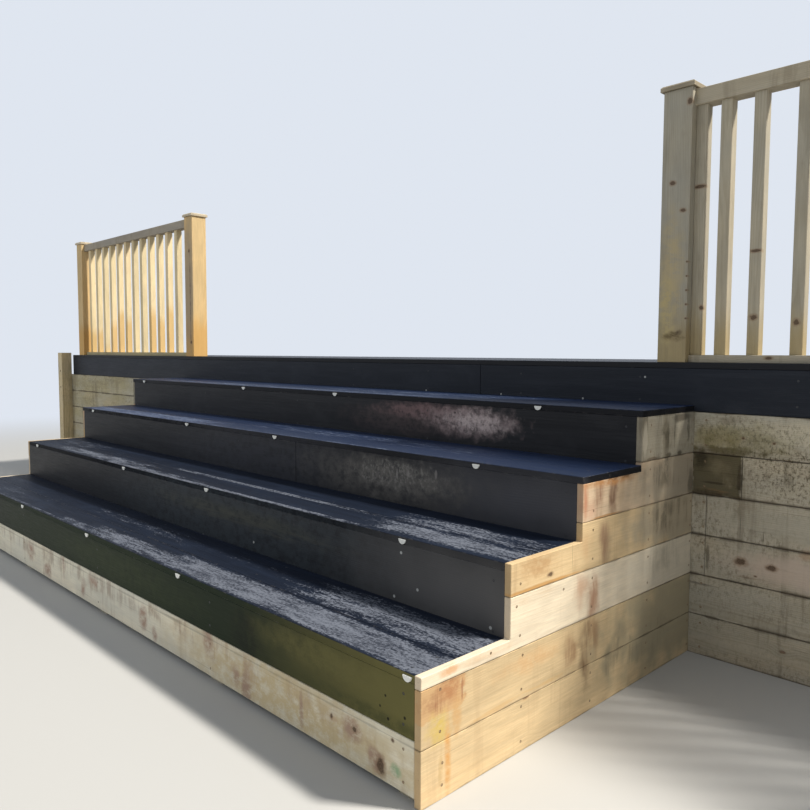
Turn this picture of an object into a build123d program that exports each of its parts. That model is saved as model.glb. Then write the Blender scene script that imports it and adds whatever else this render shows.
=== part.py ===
from build123d import *
import os

# Timber stairs up to a raised deck, with timber retaining walls and balustrades either side of the flight.
# Millimetres, +Z up. The origin is on the floor, under the centre of the whole.
# +X runs to the right along the treads, +Y from the foot of the flight to the back of the deck.

# Timber sections
board = 22.0            # thickness of every wall, riser and tread board
course = 150.0          # height of one course of side and wall boards
joint = 1.5             # open joint between boards that lie edge to edge or end to end
ease = 1.5              # eased edge on sawn and planed timber
post = 110.0            # newels and balustrade posts
wall_post_width = 90.0  # plain posts at the ends of the front walls
stud = 75.0             # posts inside the flight
bearer_width = 47.0     # bearers under the treads, joists and beams of the deck
bearer_depth = 95.0     # bearers under the treads
joist_depth = 150.0     # joists of the deck

# The flight
flight_width = 3840.0
goings = (345.0, 347.0, 350.0, 378.0)
tread_tops = (333.0, 542.0, 740.0, 922.0)
deck_top = 1078.0
front_board = 150.0     # depth of the front board of a tread
base_board_top = 168.0          # top of the bare board at the foot, under the black one
base_board_height = 146.0
first_course_joined = 2         # whole courses below the first notched one
stud_rows = 5                   # posts across the flight, under each tread

# The deck and its walls
landing = 1220.0        # depth of the deck behind the top riser
wing = 2100.0           # deck beyond each side of the flight
wall_overrun = 140.0    # of the front walls past the end of the deck, behind their end posts
courses = 6             # courses of wall boards under the black edge board
wall_setback = 4.0      # of the wall boards behind the edge board
corner_strip = 54.0     # short end of the right wall's third and fourth courses
corner_block = 178.0    # short end of the right wall's fifth course
wall_post_top = 1098.0
deck_board_count = 8
joist_count = 15
riser_3_butt = 466.0    # butt joint in the third riser, from the centre
fascia_butt = 903.0     # butt joint in the black edge board, from the centre

# The balustrades
newel_inset = 42.0      # of a newel, in from the side of the flight
post_setback = 5.0      # of a newel, back from the face of the edge board
deck_end_gap = 142.0    # from a balustrade's end post to the end of the deck
post_top = 2072.0
cap_overhang = 10.0
cap_thickness = 20.0
cap_chamfer = 6.0
rail_width = 62.0
rail_height = 58.0
rail_drop = 6.0         # of the top rail's top below the top of the posts
bottom_rail_height = 28.0
spindle = 41.0
left_spindles = 12              # evenly spaced ones
left_newel_margin = 200.0       # from the newel to the centre of the nearest of them
left_post_margin = 92.0         # from the end post to the centre of the nearest of them
right_spindles = 12
right_newel_margin = 368.0
right_post_margin = 90.0
right_odd_spindles = (110.0, 225.0)             # from the newel, two that stand closer

# Step lights, small half-round lenses under the front edges
light_radius = 15.0
light_thickness = 4.0
light_drop = 7.0        # of a light's flat top below the top of the tread
middle_lights = (-505.0, 308.0)                 # from the centre, on the upper risers
left_light_inset = 175.0                        # of the outer lights there, from the sides
right_light_inset = 420.0
foot_middle_lights = (-935.0, -103.0, 714.0)    # from the centre, on the lowest riser
foot_left_inset = 160.0
foot_right_inset = 45.0

# Places worked out from the sizes above
half = flight_width / 2
inner = half - board
run = sum(goings)
front = -(run + landing - light_thickness) / 2
riser_faces = [front + sum(goings[:n]) for n in range(5)]
top_face = riser_faces[4]
wall_face = top_face + wall_setback
back = top_face + landing
front_row = wall_face + board
deck_half = half + wing
wall_half = deck_half + wall_overrun
deck_under = deck_top - board
wall_top = courses * course
joist_under = deck_under - joist_depth
beam_under = joist_under - joist_depth
tread_unders = [top - board for top in tread_tops]


def box(x0, x1, y0, y1, z0, z1):
    """One squared piece of timber between the given planes, added to the open part."""
    with Locations(((x0 + x1) / 2, (y0 + y1) / 2, (z0 + z1) / 2)):
        Box(x1 - x0, y1 - y0, z1 - z0)


def save(builder, name):
    builder.part.label = name
    export_step(builder.part, f"parts/{name}.step")


def spread(first, last, count):
    """Evenly spaced places from the first to the last."""
    return [first + (last - first) * n / (count - 1) for n in range(count)]


os.makedirs("parts", exist_ok=True)

# Front of the flight: one bare board at the foot, a black riser board over it
with BuildPart() as base_board:
    box(-inner, inner, front, front + board, base_board_top - base_board_height, base_board_top - joint)
    chamfer(base_board.edges(), ease)
save(base_board, "base_board")

# Risers, each from the underside of the tread below to the underside of its own tread
riser_bottoms = [base_board_top] + tread_unders[:3]
riser_butts = {3: riser_3_butt}
for number in range(1, 5):
    face = riser_faces[number - 1]
    bottom = riser_bottoms[number - 1]
    top = tread_unders[number - 1]
    with BuildPart() as riser:
        if number in riser_butts:
            butt = riser_butts[number]
            box(-inner, butt - joint / 2, face, face + board, bottom, top)
            box(butt + joint / 2, inner, face, face + board, bottom, top)
        else:
            box(-inner, inner, face, face + board, bottom, top)
        chamfer(riser.edges(), ease)
    save(riser, f"riser_{number}")

# Treads, two boards each: the lower two lie between the side boards, the upper two cover them
tread_halves = (inner, inner, half, half)
for number in range(1, 5):
    face = riser_faces[number - 1]
    back_edge = riser_faces[number]
    split = face + front_board
    reach = tread_halves[number - 1]
    with BuildPart() as tread:
        box(-reach, reach, face, split - joint / 2, tread_unders[number - 1], tread_tops[number - 1])
        box(-reach, reach, split + joint / 2, back_edge, tread_unders[number - 1], tread_tops[number - 1])
        chamfer(tread.edges(), ease)
    save(tread, f"tread_{number}")

# Side boards: whole courses at the foot, then courses notched down to each tread
side_tops = (tread_tops[0], tread_tops[1], tread_unders[2], tread_unders[3])
side_end = front_row
notches = {3: (0, 1), 4: (1, 2), 5: (2, 3)}
for side, sign in (("right", 1), ("left", -1)):
    outer_plane = sign * half
    inner_plane = sign * inner
    low_x = min(outer_plane, inner_plane)
    with BuildPart() as lower:
        for number in range(first_course_joined):
            top = (number + 1) * course - joint
            box(low_x, low_x + board, front, side_end, number * course, top)
        chamfer(lower.edges(), ease)
    save(lower, f"side_{side}_lower_courses")
    for number, (step, after) in notches.items():
        start = riser_faces[step]
        notch = riser_faces[after]
        bottom = (number - 1) * course
        notch_top = side_tops[step]
        top = number * course - joint
        with BuildPart() as notched:
            with BuildSketch(Plane.YZ.offset(low_x)):
                with BuildLine():
                    Polyline(
                        (start, bottom), (side_end, bottom), (side_end, top),
                        (notch, top), (notch, notch_top), (start, notch_top), close=True,
                    )
                make_face()
            extrude(amount=board)
            chamfer(notched.edges(), ease)
        save(notched, f"side_{side}_course_{number}")
    with BuildPart() as last:
        box(low_x, low_x + board, riser_faces[3], side_end, (courses - 1) * course, side_tops[3])
        chamfer(last.edges(), ease)
    save(last, f"side_{side}_course_{courses}")

# Frame inside the flight: a row of posts behind each riser, with bearers on them under each tread
stud_places = spread(-inner + stud / 2, inner - stud / 2, stud_rows)
with BuildPart() as flight_posts:
    for number in range(4):
        back_of_riser = riser_faces[number] + board
        for x in stud_places:
            post_head = tread_unders[number] - bearer_depth
            box(x - stud / 2, x + stud / 2, back_of_riser, back_of_riser + stud, 0, post_head)
save(flight_posts, "flight_posts")

with BuildPart() as flight_bearers:
    for number in range(4):
        start = riser_faces[number] + board
        end = riser_faces[number + 1] + board if number < 3 else front_row
        top = tread_unders[number]
        for x in stud_places:
            box(x - bearer_width / 2, x + bearer_width / 2, start, end, top - bearer_depth, top)
save(flight_bearers, "flight_bearers")

# Black edge board of the deck, which is also the top riser
with BuildPart() as fascia_front:
    butt = fascia_butt
    box(-deck_half, butt - joint / 2, top_face, top_face + board, wall_top, deck_under)
    box(butt + joint / 2, deck_half, top_face, top_face + board, wall_top, deck_under)
    chamfer(fascia_front.edges(), ease)
save(fascia_front, "fascia_front")

with BuildPart() as fascia_return:
    box(-deck_half, -deck_half + board, top_face + board + joint, back - board - joint, wall_top, deck_under)
    box(deck_half - board, deck_half, top_face + board + joint, back - board - joint, wall_top, deck_under)
    box(-deck_half, deck_half, back - board, back, wall_top, deck_under)
    chamfer(fascia_return.edges(), ease)
save(fascia_return, "fascia_return")

# Boards of the retaining walls, in courses down to the lowest ground
def wall_courses(x0, x1, y0, y1, splits):
    """Courses of boards in one wall, where splits gives a butt joint's place for a course number."""
    for number in range(1, courses + 1):
        z0 = (number - 1) * course
        z1 = number * course - joint
        if number in splits:
            box(x0, splits[number] - joint / 2, y0, y1, z0, z1)
            box(splits[number] + joint / 2, x1, y0, y1, z0, z1)
        else:
            box(x0, x1, y0, y1, z0, z1)


right_splits = {3: half + corner_strip, 4: half + corner_strip, 5: half + corner_block}
with BuildPart() as wall_right:
    wall_courses(half, wall_half, wall_face, front_row, right_splits)
    chamfer(wall_right.edges(), ease)
save(wall_right, "wall_right")

with BuildPart() as wall_left:
    wall_courses(-wall_half, -half, wall_face, front_row, {})
    chamfer(wall_left.edges(), ease)
save(wall_left, "wall_left")

end_start = front_row
end_stop = back - board
with BuildPart() as wall_right_end:
    wall_courses(deck_half - board, deck_half, end_start, end_stop, {})
    chamfer(wall_right_end.edges(), ease)
save(wall_right_end, "wall_right_end")

with BuildPart() as wall_left_end:
    wall_courses(-deck_half, -deck_half + board, end_start, end_stop, {})
    chamfer(wall_left_end.edges(), ease)
save(wall_left_end, "wall_left_end")

with BuildPart() as wall_back:
    wall_courses(-deck_half, deck_half, back - board, back, {2: -half, 4: half, 6: 0})
    chamfer(wall_back.edges(), ease)
save(wall_back, "wall_back")

# Plain posts in front of the outer ends of the front walls
for side, sign in (("right", 1), ("left", -1)):
    x0 = wall_half - wall_post_width if sign > 0 else -wall_half
    with BuildPart() as end_post:
        box(x0, x0 + wall_post_width, wall_face - wall_post_width, wall_face, 0, wall_post_top)
        chamfer(end_post.edges(), ease)
    save(end_post, f"wall_post_{side}")

# Frame of the deck: posts, two beams on them, joists, and the deck boards
outer_post = deck_half - board - wall_post_width / 2
flight_post = half + wall_post_width / 2
post_places = spread(-outer_post, -flight_post, 3) + [0] + spread(flight_post, outer_post, 3)
back_row = back - board - wall_post_width
with BuildPart() as deck_posts:
    for x in post_places:
        for y in (front_row, back_row):
            box(x - wall_post_width / 2, x + wall_post_width / 2, y, y + wall_post_width, 0, beam_under)
save(deck_posts, "deck_posts")

with BuildPart() as deck_beams:
    for y in (front_row, back - board - bearer_width):
        box(-deck_half + board, deck_half - board, y, y + bearer_width, beam_under, joist_under)
save(deck_beams, "deck_beams")

joist_places = spread(-deck_half + board + bearer_width / 2, deck_half - board - bearer_width / 2, joist_count)
with BuildPart() as deck_joists:
    for x in joist_places:
        box(x - bearer_width / 2, x + bearer_width / 2, front_row, back - board, joist_under, deck_under)
save(deck_joists, "deck_joists")

deck_pitch = (landing + joint) / deck_board_count
with BuildPart() as deck_boards:
    for n in range(deck_board_count):
        y0 = top_face + n * deck_pitch
        box(-deck_half, deck_half, y0, y0 + deck_pitch - joint, deck_under, deck_top)
    chamfer(deck_boards.edges(), ease)
save(deck_boards, "deck_boards")

# Newels at the head of the flight, and a post at the far end of each balustrade
newel_outer = half - newel_inset
post_front = top_face + post_setback
post_middle = post_front + post / 2
far_inner = deck_half - deck_end_gap - post
bay = far_inner - newel_outer
rail_top = post_top - rail_drop
cap_centres = []
for name, low in (
    ("newel_left", -newel_outer),
    ("newel_right", newel_outer - post),
    ("rail_post_left", -far_inner - post),
    ("rail_post_right", far_inner),
):
    with BuildPart() as upright:
        box(low, low + post, post_front, post_front + post, deck_top, post_top)
        chamfer(upright.edges(), ease)
    save(upright, name)
    cap_centres.append((low + post / 2, post_middle, post_top + cap_thickness / 2))

with BuildPart() as post_caps:
    with Locations(*cap_centres):
        Box(post + 2 * cap_overhang, post + 2 * cap_overhang, cap_thickness)
    chamfer(post_caps.edges().group_by(Axis.Z)[-1], cap_chamfer)
save(post_caps, "post_caps")

# Rails and spindles between the posts
for side, sign, count, newel_margin, post_margin, odd in (
    ("left", -1, left_spindles, left_newel_margin, left_post_margin, ()),
    ("right", 1, right_spindles, right_newel_margin, right_post_margin, right_odd_spindles),
):
    x0 = newel_outer if sign > 0 else -far_inner
    x1 = x0 + bay
    from_newel = (spindle / 2,) + odd + tuple(spread(newel_margin, bay - post_margin, count))
    y0 = post_middle - rail_width / 2
    y1 = post_middle + rail_width / 2
    with BuildPart() as top_rail:
        box(x0, x1, y0, y1, rail_top - rail_height, rail_top)
        chamfer(top_rail.edges().filter_by(Axis.X), ease)
    save(top_rail, f"top_rail_{side}")
    with BuildPart() as bottom_rail:
        box(x0, x1, y0, y1, deck_top, deck_top + bottom_rail_height)
        chamfer(bottom_rail.edges().filter_by(Axis.X), ease)
    save(bottom_rail, f"bottom_rail_{side}")
    with BuildPart() as spindles:
        for x in [sign * (newel_outer + away) for away in from_newel]:
            box(
                x - spindle / 2, x + spindle / 2, post_middle - spindle / 2, post_middle + spindle / 2,
                deck_top + bottom_rail_height, rail_top - rail_height,
            )
        chamfer(spindles.edges().filter_by(Axis.Z), ease)
    save(spindles, f"spindles_{side}")

# Step lights: half-round lenses on the risers, flat side up
foot_lights = (-half + foot_left_inset,) + foot_middle_lights + (half - foot_right_inset,)
upper_lights = (-half + left_light_inset,) + middle_lights + (half - right_light_inset,)
with BuildPart() as step_lights:
    for step in range(4):
        places = foot_lights if step == 0 else upper_lights
        face = riser_faces[step]
        height = tread_tops[step] - light_drop
        with BuildSketch(Plane.XZ.offset(-face)):
            with Locations(*[(x, height) for x in places]):
                Circle(light_radius)
            with Locations((0, height + light_radius)):
                Rectangle(flight_width, 2 * light_radius, mode=Mode.SUBTRACT)
        extrude(amount=light_thickness)
save(step_lights, "step_lights")
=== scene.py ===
# %% [markdown]
# # Wooden deck stairs
#
# A wide flight of four black painted treads climbs to a timber deck. Stacked softwood boards close
# its sides and the walls under the deck, and a balustrade of square spindles stands on each wing.
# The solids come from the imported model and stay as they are. This lesson gives them their finish,
# adds the heads of the screws, and sets the stairs on a pale studio floor.

# %% Load the stairs
import math

import bmesh
import bpy
from mathutils import Matrix, Vector


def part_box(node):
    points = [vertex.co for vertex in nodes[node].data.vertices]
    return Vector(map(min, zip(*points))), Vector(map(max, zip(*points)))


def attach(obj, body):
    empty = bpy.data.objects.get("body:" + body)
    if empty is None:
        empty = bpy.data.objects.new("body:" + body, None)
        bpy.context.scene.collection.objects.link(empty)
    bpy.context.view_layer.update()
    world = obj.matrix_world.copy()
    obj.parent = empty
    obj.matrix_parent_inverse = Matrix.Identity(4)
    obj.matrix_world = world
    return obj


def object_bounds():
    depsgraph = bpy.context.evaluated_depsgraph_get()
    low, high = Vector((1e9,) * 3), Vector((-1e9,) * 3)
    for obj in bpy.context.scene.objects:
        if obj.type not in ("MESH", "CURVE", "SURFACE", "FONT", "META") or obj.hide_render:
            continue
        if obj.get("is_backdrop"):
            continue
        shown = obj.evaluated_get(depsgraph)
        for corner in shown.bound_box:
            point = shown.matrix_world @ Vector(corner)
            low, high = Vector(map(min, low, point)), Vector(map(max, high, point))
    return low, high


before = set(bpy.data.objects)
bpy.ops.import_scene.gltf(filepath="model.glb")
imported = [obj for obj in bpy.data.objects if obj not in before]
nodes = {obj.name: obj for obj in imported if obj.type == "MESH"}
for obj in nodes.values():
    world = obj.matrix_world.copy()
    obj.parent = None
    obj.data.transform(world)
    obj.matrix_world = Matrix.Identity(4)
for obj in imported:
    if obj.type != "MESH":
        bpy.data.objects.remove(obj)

cad_low, cad_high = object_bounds()
print("nodes:", len(nodes), "size:", [round(v, 3) for v in cad_high - cad_low])

# %% [markdown]
# ## Camera
#
# The camera stands where the photographer stood: in front of the right half of the flight, at the
# height of a chest, turned left and tilted a little down. A camera looks along its own −Z with +Y
# up, so its matrix is built from the three directions right, up and back.

# %% Place the camera
camera_place = Vector((3.1411, -2.5644, 1.1109))
turn_left = math.radians(45.74)
tilt_down = math.radians(4.0)
lean = math.radians(0.2)
look = Vector((
    -math.sin(turn_left) * math.cos(tilt_down),
    math.cos(turn_left) * math.cos(tilt_down),
    -math.sin(tilt_down),
))
level = Vector((math.cos(turn_left), math.sin(turn_left), 0))
upright = level.cross(look)
right = level * math.cos(lean) + upright * math.sin(lean)
up = upright * math.cos(lean) - level * math.sin(lean)
turned = Matrix((right, up, -look)).transposed().to_4x4()
bpy.ops.object.camera_add()
camera = bpy.context.object
camera.name = "camera"
camera.data.sensor_width = 36
camera.data.lens = 33.337
camera.data.clip_end = 200
camera.matrix_world = Matrix.Translation(camera_place) @ turned
bpy.context.scene.camera = camera
print("camera", [round(v, 3) for v in camera.location])

# %% [markdown]
# ## Helpers for node trees
#
# Every finish here is procedural: small graphs of nodes that work out a colour and a relief from
# the place of a point on the object. A few helpers keep such graphs readable. The result of a node
# is kept as a `Value`, and a sum written with it, such as `a * b + 0.5`, adds the nodes for it.
# `fade` turns a value into a soft mask from 0 to 1, and `blend` mixes two colours by a mask.

# %% Values and nodes
class Value:
    """An output of a node. Sums with it add Math nodes to the same tree."""

    def __init__(self, socket):
        self.socket = socket

    def __add__(self, other):
        return calc("ADD", self, other)

    def __sub__(self, other):
        return calc("SUBTRACT", self, other)

    def __rsub__(self, other):
        return calc("SUBTRACT", other, self)

    def __mul__(self, other):
        return calc("MULTIPLY", self, other)

    def __truediv__(self, other):
        return calc("DIVIDE", self, other)


def fill_inputs(made, inputs):
    """Inputs go by name or number. A node stands for its first output, and colours are opaque."""
    for name, value in inputs.items():
        socket = made.inputs[name]
        if isinstance(value, Value):
            made.id_data.links.new(value.socket, socket)
        elif isinstance(value, bpy.types.Node):
            made.id_data.links.new(value.outputs[0], socket)
        elif socket.type == "RGBA":
            socket.default_value = (*value, 1)
        else:
            socket.default_value = value


def add_node(tree, kind, inputs=None, **settings):
    made = tree.nodes.new(kind)
    for name, value in settings.items():
        setattr(made, name, value)
    fill_inputs(made, inputs or {})
    return made


def results(made):
    return {socket.name: Value(socket) for socket in made.outputs}


def value_from(kind, output, inputs, **settings):
    """A Value made from others: its node joins their tree."""
    tree = next(value.socket.id_data for value in inputs.values() if isinstance(value, Value))
    return Value(add_node(tree, kind, inputs, **settings).outputs[output])


# %% Sums, masks and noise
def calc(operation, first, second=0.0):
    return value_from("ShaderNodeMath", "Value", {0: first, 1: second}, operation=operation)


def vector_calc(operation, first, second=(0, 0, 0)):
    output = "Value" if operation in ("DOT_PRODUCT", "LENGTH") else "Vector"
    return value_from("ShaderNodeVectorMath", output, {0: first, 1: second}, operation=operation)


def vector_of(x, y, z=0.0):
    return value_from("ShaderNodeCombineXYZ", "Vector", {"X": x, "Y": y, "Z": z})


def parts_of(tree, vector):
    return results(add_node(tree, "ShaderNodeSeparateXYZ", {"Vector": vector}))


def channels_of(tree, colour):
    return results(add_node(tree, "ShaderNodeSeparateColor", {"Color": colour}))


def fade(value, start, end, low=0.0, high=1.0):
    """low where value is at start, high where it is at end, with a soft change between them."""
    inputs = {"Value": value, "From Min": start, "From Max": end, "To Min": low, "To Max": high}
    return value_from("ShaderNodeMapRange", "Result", inputs, interpolation_type="SMOOTHSTEP")


def scaled_noise(place, scale, detail, roughness=0.5, distortion=0.0):
    inputs = {"Vector": place, "Scale": scale, "Detail": detail, "Roughness": roughness}
    return value_from("ShaderNodeTexNoise", "Fac", {**inputs, "Distortion": distortion})


def noise(place, waves, detail=2.0, roughness=0.5):
    """Noise from 0 to 1 with so many waves a metre along each axis."""
    return scaled_noise(vector_calc("MULTIPLY", place, waves), 1.0, detail, roughness)


def sway(value, amount):
    """A noise value turned into a push of up to about half the amount, either way."""
    return (value - 0.5) * amount


def blend(mask, first, second, kind="MIX"):
    """The first colour where the mask is 0 and the second where it is 1."""
    inputs = {0: mask, 6: first, 7: second}
    return value_from("ShaderNodeMix", 2, inputs, data_type="RGBA", blend_type=kind)


def here(tree, kind="Object"):
    """The place of the shaded point on the object, in metres, or the way that it faces."""
    return results(add_node(tree, "ShaderNodeTexCoord"))[kind]


# %% Groups and materials
def start_group(name, inputs, outputs=None):
    """A node group. Its inputs start as a number, a place (three) or a colour (four numbers)."""
    group = bpy.data.node_groups.new(name, "ShaderNodeTree")
    for label, value in inputs.items():
        kind = "Float" if isinstance(value, float) else {3: "Vector", 4: "Color"}[len(value)]
        socket = group.interface.new_socket(name=label, in_out="INPUT", socket_type=f"NodeSocket{kind}")
        socket.default_value = value
    for label, kind in (outputs or {"Mask": "Float"}).items():
        group.interface.new_socket(name=label, in_out="OUTPUT", socket_type=f"NodeSocket{kind}")
    given = results(group.nodes.new("NodeGroupInput"))
    return group, given, group.nodes.new("NodeGroupOutput")


def placed(tree, group, inputs):
    """The results of a group, placed in a material with its own values."""
    return results(add_node(tree, "ShaderNodeGroup", inputs, node_tree=group))


def start_material(name):
    material = bpy.data.materials.new(name)
    material.use_nodes = True
    return material, material.node_tree, material.node_tree.nodes["Principled BSDF"]


def bump(tree, height, distance):
    return add_node(tree, "ShaderNodeBump", {"Height": height, "Distance": distance})


def finish_node(node_name, material):
    slots = nodes[node_name].data.materials
    slots.clear()
    slots.append(material)


# %% [markdown]
# ## Floor and light
#
# The stairs stand in a plain studio. One lamp hangs high behind the right wing, where the sun
# stood, so the boards that face right are bright and the balustrade's shade falls on them. A weak
# one fills the front. The world gives even light. To the camera and in reflections it is a pale
# backdrop, and far from the stairs the floor takes the same colour, so no edge shows between them.

# %% Light the room evenly
backdrop_colour = (0.74, 0.79, 0.87)
world = bpy.data.worlds.new("studio")
bpy.context.scene.world = world
world.use_nodes = True
tree = world.node_tree
even_light = tree.nodes["Background"]
fill_inputs(even_light, {"Color": (0.9, 0.95, 1.0), "Strength": 0.38})
backdrop = add_node(tree, "ShaderNodeBackground", {"Color": backdrop_colour, "Strength": 1.0})
rays = results(add_node(tree, "ShaderNodeLightPath"))
seen = calc("MAXIMUM", rays["Is Camera Ray"], rays["Is Glossy Ray"])
seen = calc("MAXIMUM", seen, rays["Is Transmission Ray"])
shown = add_node(tree, "ShaderNodeMixShader", {0: seen, 1: even_light, 2: backdrop})
fill_inputs(tree.nodes["World Output"], {"Surface": shown})
bpy.context.scene.view_settings.view_transform = "Standard"

# %% Lay the floor
bpy.ops.mesh.primitive_plane_add(size=120, location=(0, 0, cad_low.z))
floor = bpy.context.object
floor.name = "floor"
floor_paint, tree, matt = start_material("floor_paint")
fill_inputs(matt, {"Base Color": (0.5, 0.497, 0.487), "Roughness": 0.95})
glow = add_node(tree, "ShaderNodeEmission", {"Color": backdrop_colour, "Strength": 1.0})
distance = vector_calc("LENGTH", here(tree))
rays = results(add_node(tree, "ShaderNodeLightPath"))
far = fade(distance, 5.0, 11.0) * rays["Is Camera Ray"]
swept = add_node(tree, "ShaderNodeMixShader", {0: far, 1: matt, 2: glow})
fill_inputs(tree.nodes["Material Output"], {"Surface": swept})
floor.data.materials.append(floor_paint)
floor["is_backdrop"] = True

# %% Hang the lamps
lamps = {
    "key_lamp": ((13.84, 7.51, 19.16), 2.4, 9600, (1.0, 0.95, 0.86)),
    "fill_lamp": ((-5.0, -9.0, 6.0), 7.0, 200, (0.92, 0.96, 1.0)),
}
target = (cad_low + cad_high) / 2
for name, (place, size, power, tint) in lamps.items():
    bpy.ops.object.light_add(type="AREA", location=place)
    lamp = bpy.context.object
    lamp.name = name
    lamp.data.size = size
    lamp.data.energy = power
    lamp.data.color = tint
    lamp.rotation_euler = (target - lamp.location).to_track_quat("-Z", "Y").to_euler()
    print(name, power, "W")

# %% [markdown]
# ## Which board is it?
#
# Boards in one course or deck share one mesh, but each real board has a colour and a grain of its
# own. This group measures along and across the boards, counts which board a point is on, and draws
# a random number for it. The place that it gives out is the place inside that one board.

# %% Group: place on a board
board_place, given, result = start_group(
    "board_place",
    {"Along": (1, 0, 0), "Across": (0, 0, 1), "First Edge": 0.0, "Board Width": 0.15, "Seed": 0.0},
    {"Place": "Vector", "Board": "Float", "Edge Distance": "Float", "Sawn End": "Float"},
)
point = here(board_place)
along = vector_calc("DOT_PRODUCT", point, given["Along"])
across = vector_calc("DOT_PRODUCT", point, given["Across"])
through = vector_calc("CROSS_PRODUCT", given["Along"], given["Across"])
depth = vector_calc("DOT_PRODUCT", point, through)
width = given["Board Width"]
boards_up = (across - given["First Edge"]) / width
number = calc("FLOOR", boards_up)
share = boards_up - number
ticket = {"Vector": vector_of(number, given["Seed"])}
drawn = value_from("ShaderNodeTexWhiteNoise", "Color", ticket, noise_dimensions="3D")
drawn = channels_of(board_place, drawn)
far_apart = 37.0
facing = here(board_place, "Normal")
end_on = calc("ABSOLUTE", vector_calc("DOT_PRODUCT", facing, given["Along"]))
fill_inputs(result, {
    "Place": vector_of(along + drawn["Red"] * far_apart, (share - 0.5) * width, depth),
    "Board": drawn["Green"],
    "Edge Distance": calc("MINIMUM", share, 1.0 - share) * width,
    "Sawn End": fade(end_on, 0.6, 0.8),
})
print("group board_place:", len(board_place.nodes), "nodes")

# %% [markdown]
# ## Softwood
#
# A softwood board is cut from a trunk, so its figure is a slice through growth rings. The group
# measures each point's distance from a pith that lies beside the board and wanders along it.
# That gives straight lines, long arches, and true rings on the sawn ends, all from one rule.
# Knots are scattered blobs, the rings bulge round them, and fine drying checks follow the grain.

# %% Group: softwood
softwood, given, result = start_group(
    "softwood",
    {
        "Place": (0, 0, 0),
        "Board": 0.5,
        "Sawn End": 0.0,
        "Ring Width": 0.005,
        "Ring Contrast": 0.6,
        "Knot Share": 0.12,
        "Checks": 0.3,
        "Early Wood": (0.6, 0.45, 0.27, 1),
        "Late Wood": (0.42, 0.25, 0.1, 1),
        "Heartwood": (0.5, 0.28, 0.14, 1),
        "Heart Amount": 0.4,
        "Knot Colour": (0.16, 0.07, 0.03, 1),
    },
    {"Color": "Color", "Relief": "Float", "Fibre": "Float"},
)
inside = given["Place"]
parts = parts_of(softwood, inside)
wander = noise(inside, (0.55, 0.0, 0.0), 1.0)
pith_across = sway(given["Board"], 0.16) + sway(wander, 0.12)
pith_depth = calc("FLOORED_MODULO", parts["Z"] + wander * 0.07, 0.11)
radius = vector_calc("LENGTH", vector_of(parts["Y"] - pith_across, pith_depth))

# Knots: one cell in a few holds one, a dark heart with a darker rim
knot_cells = {"Vector": vector_calc("MULTIPLY", inside, (4.6, 7.5, 7.5)), "Scale": 1.0}
cells = results(add_node(softwood, "ShaderNodeTexVoronoi", knot_cells))
drawn = channels_of(softwood, cells["Color"])
has_knot = calc("LESS_THAN", drawn["Red"], given["Knot Share"])
away = cells["Distance"] + sway(noise(inside, (60, 90, 90), 2.0), 0.05)
closeness = away / (drawn["Green"] * 0.1 + 0.05)
knot = fade(closeness, 1.1, 0.8) * has_knot
rim = fade(closeness, 1.5, 1.05) * has_knot
bulge = fade(closeness, 4.0, 0.9) * has_knot

# Rings and fibres
radius = radius + sway(noise(inside, (2.2, 14, 14), 2.0), 0.012) + bulge * 0.009
ring = calc("FRACT", radius / given["Ring Width"])
late = fade(ring, 0.3, 0.85) * fade(ring, 1.0, 0.9)
fibre = noise(inside, (9, 330, 330), 3.0, 0.65)
cloud = noise(inside, (1.1, 7, 7), 3.0)
smudge = noise(inside, (5, 22, 22), 4.0, 0.65)
check = fade(noise(inside, (2.4, 150, 150), 2.0, 0.5), 0.69, 0.73) * given["Checks"]

# Colours, from the rings to the cracks
colour = blend(late * given["Ring Contrast"], given["Early Wood"], given["Late Wood"])
heart = fade(cloud + sway(given["Board"], 0.25), 0.45, 0.72) * given["Heart Amount"]
colour = blend(heart, colour, given["Heartwood"])
shade = fade(fibre, 0.25, 0.75, 0.9, 1.05) * fade(given["Board"], 0, 1, 0.92, 1.05)
shade = shade * fade(cloud, 0.25, 0.75, 0.9, 1.06) * fade(smudge, 0.3, 0.7, 0.88, 1.05)
shade = shade * (1.0 - given["Sawn End"] * 0.3)
grey = {"Red": shade, "Green": shade, "Blue": shade}
grey = value_from("ShaderNodeCombineColor", "Color", grey)
colour = blend(1.0, colour, grey, "MULTIPLY")
colour = blend(given["Sawn End"] * 0.4, colour, given["Late Wood"])
colour = blend(rim * 0.45, colour, given["Late Wood"])
colour = blend(knot * 0.85, colour, given["Knot Colour"])
colour = blend(check, colour, (0.05, 0.03, 0.018))
relief = fibre * 0.6 + late * 0.5 - rim * 0.4 - check * 1.5
fill_inputs(result, {"Color": colour, "Relief": relief, "Fibre": fibre})
print("group softwood:", len(softwood.nodes), "nodes")

# %% [markdown]
# ## Marks that weather and feet leave, and painted shade
#
# Seven more groups are shared. `patch` is a spot at a chosen place, round or square, for stains,
# scuffs and dust, and also for patches of painted shade and painted sheen. `knot_mark` is a knot at
# a chosen place. `run_marks` are the streaks that water draws down a wall. `joint_dirt` darkens a
# board near its edges. `speckle` breaks a soft mask into grit. `wet_foot` is a mask by height, for
# posts that stay damp at their feet. `rubbed_edge` finds corners with the Bevel node, because feet
# and rain take paint off the corners first.

# %% Group: patch
def arm_from(given, point):
    """From the centre of a spot to the point, counted in half sizes."""
    return vector_calc("DIVIDE", vector_calc("SUBTRACT", point, given["Centre"]), given["Half Size"])


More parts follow.
